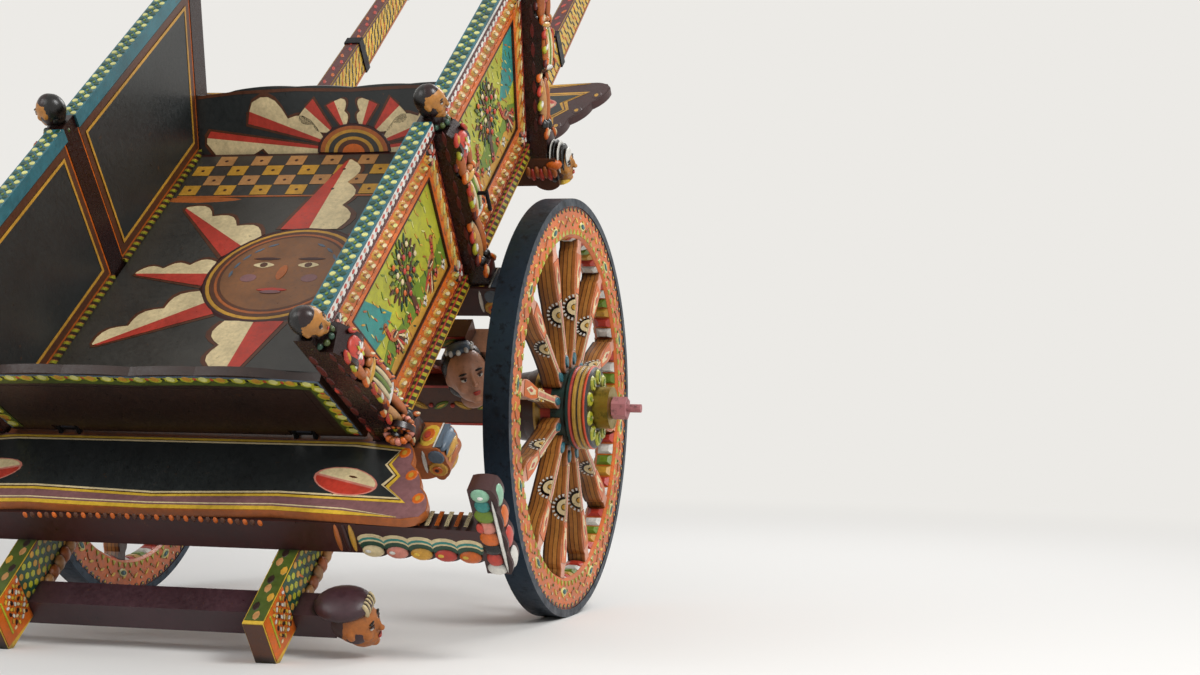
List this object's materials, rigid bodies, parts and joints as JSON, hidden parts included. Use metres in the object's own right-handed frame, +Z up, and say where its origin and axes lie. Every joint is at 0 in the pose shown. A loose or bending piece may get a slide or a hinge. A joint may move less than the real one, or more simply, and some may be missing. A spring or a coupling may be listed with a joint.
{
  "type": "painted two-wheeled sicilian cart",
  "caption": "Painted and carved wooden cart on spoked iron-tyred wheels, parked tipped back with its shafts raised.",
  "frame": {"origin": "on the floor, at the middle of the box that holds the parked cart", "axes": "+X forward, the way the shafts point, +Y to the cart's left, +Z up, as it parks"},
  "size_m": [2.943, 1.708, 2.1696],
  "materials": {
    "wood_ochre": "painted, worn",
    "wood_orange": "painted, worn",
    "wood_dark": "painted, worn",
    "wood_slate": "painted, worn",
    "wood_teal": "painted, worn",
    "wood_red": "painted, worn",
    "iron_tyre": "dark worn iron",
    "iron_black": "black paint",
    "iron_pink": "old red primer",
    "iron_red": "painted",
    "brass_old": "tarnished"
  },
  "bodies": {
    "cart": {"axle": "iron_pink", "axle_bust_left": "wood_red", "axle_bust_right": "wood_red", "axle_case": "wood_red", "axle_ironwork": "iron_red", "axle_nuts": "iron_pink", "bearer_front": "wood_red", "bearer_middle": "wood_red", "bearer_rear": "wood_red", "bearer_tail": "wood_red", "bolster": "wood_red", "bottom_rails_left": "wood_ochre", "bottom_rails_right": "wood_ochre", "floor_boards": "wood_slate", "front_board": "wood_slate", "front_shelf": "wood_slate", "hinge_brackets": "iron_black", "panel_front_left": "wood_orange", "panel_front_right": "wood_orange", "panel_rear_left": "wood_orange", "panel_rear_right": "wood_orange", "post_front_left": "wood_dark", "post_front_right": "wood_dark", "post_hook_left": "iron_black", "post_hook_right": "iron_black", "post_middle_left": "wood_dark", "post_middle_right": "wood_dark", "post_rear_left": "wood_dark", "post_rear_right": "wood_dark", "rear_shelf": "wood_slate", "shaft_irons_left": "iron_black", "shaft_irons_right": "iron_black", "shaft_left": "wood_ochre", "shaft_right": "wood_ochre", "shelf_bearers": "wood_red", "top_rails_left": "wood_teal", "top_rails_right": "wood_teal"},
    "wheel_left": {"tyre_left": "iron_tyre", "felloes_left": "wood_orange", "spokes_left": "wood_ochre", "hub_left": "wood_red", "bush_left": "brass_old"},
    "wheel_right": {"tyre_right": "iron_tyre", "felloes_right": "wood_orange", "spokes_right": "wood_ochre", "hub_right": "wood_red", "bush_right": "brass_old"},
    "tailgate": {"tailgate_board": "wood_slate", "tailgate_straps": "iron_black"}
  },
  "joints": [
    {"name": "wheel_left_turn", "type": "hinge", "parent": "cart", "child": "wheel_left", "pos_m": [-0.07156, 0.608, 0.55], "axis": [0, 1, 0], "continuous": true},
    {"name": "wheel_right_turn", "type": "hinge", "parent": "cart", "child": "wheel_right", "pos_m": [-0.07156, -0.608, 0.55], "axis": [0, 1, 0], "continuous": true},
    {"name": "tailgate_hinge", "type": "hinge", "parent": "cart", "child": "tailgate", "pos_m": [-0.97036, 0, 0.49625], "axis": [0, -1, 0], "range_deg": [0, 63]}
  ]
}
